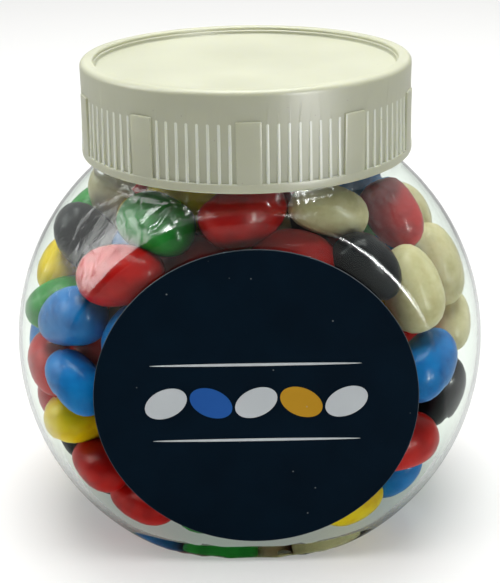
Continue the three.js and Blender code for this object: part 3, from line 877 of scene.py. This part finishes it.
block.data.transform(Matrix.Rotation(-sum(block_angles) / len(block_angles), 4, "Z"))
round_edges(block, GRIP_ROUND)

# A rib is a thin bar that stands proud at the band and runs out into the wall at its top.
bpy.ops.object.select_all(action="DESELECT")
bpy.ops.mesh.primitive_cube_add(size=1)
rib = bpy.context.object
rib.name = rib.data.name = "grip_rib"
bpy.ops.object.mode_set(mode="EDIT")
bpy.ops.transform.resize(value=(GRIP_RADIUS - GRIP_ROOT_RADIUS, RIB_WIDTH, RIB_TOP_Z - GRIP_FOOT_Z))
bpy.ops.transform.translate(
    value=((GRIP_RADIUS + GRIP_ROOT_RADIUS) / 2, 0, (RIB_TOP_Z + GRIP_FOOT_Z) / 2)
)
bpy.ops.mesh.select_all(action="DESELECT")
bpy.ops.object.mode_set(mode="OBJECT")
for vertex in rib.data.vertices:
    vertex.select = vertex.co.z > RIB_TOP_Z - MM and vertex.co.x > CAP_WALL_RADIUS
bpy.ops.object.mode_set(mode="EDIT")
bpy.ops.mesh.select_mode(type="VERT")
bpy.ops.transform.translate(value=(CAP_WALL_RADIUS - GRIP_RADIUS + RIB_TOP_PROUD, 0, 0))
bpy.ops.object.mode_set(mode="OBJECT")
round_edges(rib, GRIP_ROUND)

grips = []
block_pitch = math.tau / BLOCK_COUNT
rib_pitch = (block_pitch - 2 * RIB_FIRST_ANGLE) / (RIBS_PER_GAP - 1)
for i in range(BLOCK_COUNT):
    block_angle = BLOCK_TURN - math.pi / 2 + i * block_pitch
    turns = [(block, block_angle)]
    turns += [(rib, block_angle + RIB_FIRST_ANGLE + k * rib_pitch) for k in range(RIBS_PER_GAP)]
    for piece, angle in turns:
        copy = piece.copy()
        copy.data = piece.data.copy()
        copy.data.transform(Matrix.Rotation(angle, 4, "Z"))
        bpy.context.collection.objects.link(copy)
        grips.append(copy)
bpy.ops.object.select_all(action="DESELECT")
for piece in (block, rib):
    piece.select_set(True)
bpy.ops.object.delete()
for copy in grips:
    copy.select_set(True)
bpy.context.view_layer.objects.active = grips[0]
bpy.ops.object.join()
bpy.ops.object.select_all(action="DESELECT")
cap.select_set(True)
bpy.context.view_layer.objects.active = cap
union = cap.modifiers.new("grips", "BOOLEAN")
union.operation = "UNION"
union.solver = "EXACT"
union.object = grips[0]
bpy.ops.object.modifier_apply(modifier=union.name)
bpy.data.objects.remove(grips[0])
bpy.ops.object.shade_smooth_by_angle(angle=CAP_CREASE)

# The faces of the ribs, which take the paler of two shades of plastic: a painted highlight for the light that
# the thin ribs catch.
for polygon in cap.data.polygons:
    spot = polygon.center
    past_block = (math.atan2(spot.y, spot.x) + math.pi / 2 - BLOCK_TURN) % block_pitch
    off_block = min(past_block, block_pitch - past_block) > BLOCK_ANGLE / 2 + GRIP_ROUND / CAP_RADIUS
    proud = math.hypot(spot.x, spot.y) > CAP_WALL_RADIUS + RIB_LEAST_PROUD
    polygon.material_index = int(proud and off_block and BAND_TOP_Z < spot.z < RIB_TOP_Z)

# Moulded polypropylene: creamy white, satin with a soft gloss, faintly orange-peeled, with dust on it.
# It lets light through, so the rim glows down the skirt. The ribs' faces are painted paler than the wall, a
# painted highlight for the light they catch and let through.
CAP_PEEL = 1.1 * MM
CAP_CLOUD = 18 * MM
CAP_SPECK = 2.4 * MM


def mould_plastic(name, low, high):
    """Adds a shade of the cap's plastic, clouded between two tones, to the cap."""
    plastic, tree, shader, place = start_material(
        name,
        {
            "IOR": 1.49,
            "Subsurface Weight": 0.4,
            "Subsurface Radius": (1.0, 0.95, 0.55),
            "Subsurface Scale": 2.2 * MM,
        },
    )
    cloud = add_node(tree, "ShaderNodeTexNoise", {"Scale": 1 / CAP_CLOUD, "Detail": 3.0}, {"Vector": place})
    tone = add_node(tree, "ShaderNodeValToRGB", {}, {"Fac": cloud.outputs["Fac"]})
    tone.color_ramp.elements[0].position = 0.3
    tone.color_ramp.elements[0].color = linear(low)
    tone.color_ramp.elements[1].position = 0.7
    tone.color_ramp.elements[1].color = linear(high)
    speck = add_node(tree, "ShaderNodeTexVoronoi", {"Scale": 1 / CAP_SPECK}, {"Vector": place})
    dust = add_node(
        tree,
        "ShaderNodeMapRange",
        {"From Min": 0.035, "From Max": 0.06, "To Min": 1.0, "To Max": 0.0},
        {"Value": speck.outputs["Distance"]},
    )
    dusted = add_node(
        tree,
        "ShaderNodeMixRGB",
        {"Color2": linear("#A8A494")},
        {"Fac": dust.outputs["Result"], "Color1": tone.outputs["Color"]},
    )
    tree.links.new(dusted.outputs["Color"], shader.inputs["Base Color"])
    gloss = add_node(
        tree, "ShaderNodeMapRange", {"To Min": 0.3, "To Max": 0.46}, {"Value": cloud.outputs["Fac"]}
    )
    tree.links.new(gloss.outputs["Result"], shader.inputs["Roughness"])
    peel = add_node(tree, "ShaderNodeTexNoise", {"Scale": 1 / CAP_PEEL, "Detail": 2.0}, {"Vector": place})
    bump = add_node(
        tree, "ShaderNodeBump", {"Strength": 0.06, "Distance": 0.05 * MM}, {"Height": peel.outputs["Fac"]}
    )
    tree.links.new(bump.outputs["Normal"], shader.inputs["Normal"])
    cap.data.materials.append(plastic)


mould_plastic("white_moulded_polypropylene", "#B4B69F", "#BEC0A9")
# The paler shade is a painted highlight, given only to the rib faces.
mould_plastic("painted_lit_rib_polypropylene", "#D4D8C8", "#DCE0D2")
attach(cap, "root")
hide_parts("cap")

# The label: a round sticker of printed film, stuck flat in the middle of the front face.
# Its face is dark navy, and the cut edge shows as a thin pale line.
LABEL_GAP = 0.05 * MM
LABEL_BACK_Y = -FACE_Y - LABEL_GAP
LABEL_THICKNESS = 0.28 * MM
LABEL_EDGE = 0.08 * MM
LABEL_STEPS = 160
LABEL_CREASE = math.radians(20)
LABEL_FACE_NORMAL = -0.99
bpy.ops.object.select_all(action="DESELECT")
bpy.ops.mesh.primitive_circle_add(vertices=LABEL_STEPS, radius=LABEL_RADIUS, fill_type="NGON")
label = bpy.context.object
label.name = label.data.name = "round_label"
bpy.ops.object.mode_set(mode="EDIT")
bpy.ops.transform.rotate(value=math.pi / 2, orient_axis="X", center_override=(0, 0, 0))
bpy.ops.transform.translate(value=(LABEL_X, LABEL_BACK_Y, BOWL_CENTRE_Z))
bpy.ops.mesh.extrude_region_move(TRANSFORM_OT_translate={"value": (0, -LABEL_THICKNESS, 0)})
bpy.ops.mesh.inset(thickness=LABEL_EDGE)
bpy.ops.transform.translate(value=(0, -LABEL_EDGE / 2, 0))
bpy.ops.mesh.select_all(action="SELECT")
bpy.ops.mesh.normals_make_consistent(inside=False)
bpy.ops.object.mode_set(mode="OBJECT")
bpy.ops.object.shade_smooth_by_angle(angle=LABEL_CREASE)

# Printed film: dark satin varnish over paper, with a few pale specks of dust. The ink on it and the cut
# edge of the paper are dull, and a little uneven in tone.
FILM_SPECK = 4.5 * MM
FILM_CLOUD = 9 * MM


def print_finish(name, roughness, low, high):
    """One of the label's finishes, clouded between two tones and specked with dust."""
    finish, tree, shader, place = start_material(
        name, {"IOR": 1.5, "Roughness": roughness, "Specular IOR Level": 0.02}
    )
    cloud = add_node(tree, "ShaderNodeTexNoise", {"Scale": 1 / FILM_CLOUD, "Detail": 3.0}, {"Vector": place})
    tone = add_node(tree, "ShaderNodeValToRGB", {}, {"Fac": cloud.outputs["Fac"]})
    tone.color_ramp.elements[0].color = linear(low)
    tone.color_ramp.elements[1].color = linear(high)
    speck = add_node(tree, "ShaderNodeTexVoronoi", {"Scale": 1 / FILM_SPECK}, {"Vector": place})
    dust = add_node(
        tree,
        "ShaderNodeMapRange",
        {"From Min": 0.02, "From Max": 0.045, "To Min": 0.5, "To Max": 0.0},
        {"Value": speck.outputs["Distance"]},
    )
    dusted = add_node(
        tree,
        "ShaderNodeMixRGB",
        {"Color2": linear("#9AA2A6")},
        {"Fac": dust.outputs["Result"], "Color1": tone.outputs["Color"]},
    )
    tree.links.new(dusted.outputs["Color"], shader.inputs["Base Color"])
    return finish


label.data.materials.append(print_finish("printed_label_film", 0.45, "#020F1B", "#051A29"))
label.data.materials.append(print_finish("label_paper_edge", 0.7, "#3E464C", "#6A7278"))
for polygon in label.data.polygons:
    polygon.material_index = 0 if polygon.normal.y < LABEL_FACE_NORMAL else 1

# Its print: a row of plain bean shapes between two rules, each a thin layer of ink on the film.
INK_Y = LABEL_BACK_Y - LABEL_THICKNESS - LABEL_EDGE / 2
INK_THICKNESS = 0.03 * MM
INK_STEPS = 48
PRINTED_BEAN = (4.3 * MM, 2.9 * MM)
PRINTED_BEAN_PITCH = 8.6 * MM
PRINTED_BEAN_SLOPE = math.radians(28)
PRINTED_RULE = (20 * MM, 0.28 * MM)
PRINTED_RULE_RISE = 8 * MM
inks = {
    "pale": print_finish("pale_label_ink", 0.5, "#C2C8CC", "#D0D5D8"),
    "blue": print_finish("blue_label_ink", 0.5, "#2455A0", "#2C62B0"),
    "gold": print_finish("gold_label_ink", 0.5, "#B98A22", "#C9992E"),
}
prints = [("pale", PRINTED_RULE, 0, (0, side * PRINTED_RULE_RISE)) for side in (-1, 1)]
for i, colour in enumerate(("pale", "blue", "pale", "gold", "pale")):
    slope = PRINTED_BEAN_SLOPE * (-1) ** i
    prints.append((colour, PRINTED_BEAN, slope, ((i - 2) * PRINTED_BEAN_PITCH, 0)))
for colour, (half_length, half_height), slope, (across, rise) in prints:
    bpy.ops.object.select_all(action="DESELECT")
    bpy.ops.mesh.primitive_circle_add(vertices=INK_STEPS, radius=1, fill_type="NGON")
    ink = bpy.context.object
    ink.data.materials.append(inks[colour])
    bpy.ops.object.mode_set(mode="EDIT")
    bpy.ops.transform.resize(value=(half_length, half_height, 1))
    bpy.ops.transform.rotate(value=slope, orient_axis="Z", center_override=(0, 0, 0))
    bpy.ops.transform.rotate(value=math.pi / 2, orient_axis="X", center_override=(0, 0, 0))
    bpy.ops.transform.translate(value=(LABEL_X + across, INK_Y, BOWL_CENTRE_Z + rise))
    bpy.ops.mesh.extrude_region_move(TRANSFORM_OT_translate={"value": (0, -INK_THICKNESS, 0)})
    bpy.ops.mesh.select_all(action="SELECT")
    bpy.ops.mesh.normals_make_consistent(inside=False)
    bpy.ops.object.mode_set(mode="OBJECT")
    label.select_set(True)
    bpy.context.view_layer.objects.active = label
    bpy.ops.object.join()
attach(label, "root")
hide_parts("label")

# The pale floor that the jar stands on, and soft studio light: a broad light above, and at the sides
# cards that show only in what is glossy. The floor glows a little, to fill the shade at the jar's foot,
# and is dim when mirrored, so that the gloss doesn't haze the colours.
FLOOR_SIZE = 6
FLOOR_DROP = 0.05 * MM
bpy.ops.object.select_all(action="DESELECT")
bpy.ops.mesh.primitive_plane_add(size=FLOOR_SIZE)
floor = bpy.context.object
floor.name = "floor"
floor.location.z = -FLOOR_DROP
paint, tree, shader, place = start_material(
    "pale_floor", {"Roughness": 0.7, "Emission Color": linear("#FFFFFF")}
)
path = add_node(tree, "ShaderNodeLightPath", {}, {})
mirrored = add_node(
    tree,
    "ShaderNodeMath",
    {"operation": "SUBTRACT", "use_clamp": True},
    {0: path.outputs["Is Reflection Ray"], 1: path.outputs["Is Diffuse Ray"]},
)
pale = add_node(
    tree,
    "ShaderNodeMixRGB",
    {"Color1": linear("#C8C8C6"), "Color2": linear("#A8A8A8")},
    {"Fac": mirrored.outputs["Value"]},
)
shine = add_node(
    tree, "ShaderNodeMapRange", {"To Min": 0.28, "To Max": 0.1}, {"Value": mirrored.outputs["Value"]}
)
tree.links.new(pale.outputs["Color"], shader.inputs["Base Color"])
tree.links.new(shine.outputs["Result"], shader.inputs["Emission Strength"])
floor.data.materials.append(paint)

# Each light: its watts, its width and height, where it stands and aims, and whether it is a card.
for name, watts, width, height, stand, aim, is_card in (
    ("overhead", 10.2, 0.6, 0.6, (0.0, 0.05, 0.9), (0, 0.02, 0), False),
    ("right_strip", 4.0, 0.05, 0.34, (0.36, -0.46, 0.20), (0, 0, 0.06), True),
    ("right_card", 1.2, 0.26, 0.14, (0.40, -0.40, 0.075), (0, 0, 0.056), True),
    ("left_card", 3.3, 0.42, 0.36, (-0.60, -0.05, 0.42), (0, 0, 0.05), True),
    ("low_card", 0.3, 0.60, 0.22, (-0.65, 0.05, 0.13), (0, 0, 0.06), True),
    ("lamp_glint", 1.8, 0.06, 0.03, (-0.47, -0.19, 0.77), (0, 0, 0.06), True),
):
    lamp_data = bpy.data.lights.new(f"{name}_light", "AREA")
    lamp_data.shape = "RECTANGLE"
    lamp_data.energy = watts
    lamp_data.size = width
    lamp_data.size_y = height
    lamp = bpy.data.objects.new(f"{name}_light", lamp_data)
    lamp.location = stand
    lamp.rotation_euler = (Vector(aim) - Vector(stand)).to_track_quat("-Z", "Y").to_euler()
    if is_card:
        lamp.visible_diffuse = False
        lamp.visible_transmission = False
    bpy.context.collection.objects.link(lamp)
world = bpy.data.worlds.new("studio")
bpy.context.scene.world = world
world.use_nodes = True
tree = world.node_tree
sky = tree.nodes["Background"]
sky.inputs["Color"].default_value = linear("#FFFFFF")
way = add_node(tree, "ShaderNodeTexCoord", {}, {})
split = add_node(tree, "ShaderNodeSeparateXYZ", {}, {"Vector": way.outputs["Generated"]})
glow = add_node(
    tree,
    "ShaderNodeMapRange",
    {"From Min": -0.6, "From Max": 0.5, "To Min": 0.1, "To Max": 0.75},
    {"Value": split.outputs["Y"]},
)
lift = add_node(
    tree,
    "ShaderNodeMapRange",
    {"From Min": 0.0, "From Max": 0.5, "To Min": 0.25, "To Max": 1.2},
    {"Value": split.outputs["Z"]},
)
light = add_node(
    tree, "ShaderNodeMath", {"operation": "MULTIPLY"}, {0: glow.outputs["Result"], 1: lift.outputs["Result"]}
)
tree.links.new(light.outputs["Value"], sky.inputs["Strength"])
bpy.context.scene.view_settings.view_transform = "Standard"

# The camera, where the eye above stood.
camera_data = bpy.data.cameras.new("camera")
camera_data.sensor_fit = "VERTICAL"
camera_data.sensor_height = 36
camera_data.lens = FOCAL_PIXELS / PICTURE[1] * camera_data.sensor_height
camera_data.clip_start = 0.01
camera = bpy.data.objects.new("camera", camera_data)
lean = Matrix.Rotation(math.pi / 2 - LOOK_DOWN, 4, "X") @ Matrix.Rotation(LOOK_ROLL, 4, "Z")
camera.matrix_world = Matrix.Translation(EYE) @ Matrix.Rotation(LOOK_TURN, 4, "Z") @ lean
bpy.context.collection.objects.link(camera)
bpy.context.scene.camera = camera
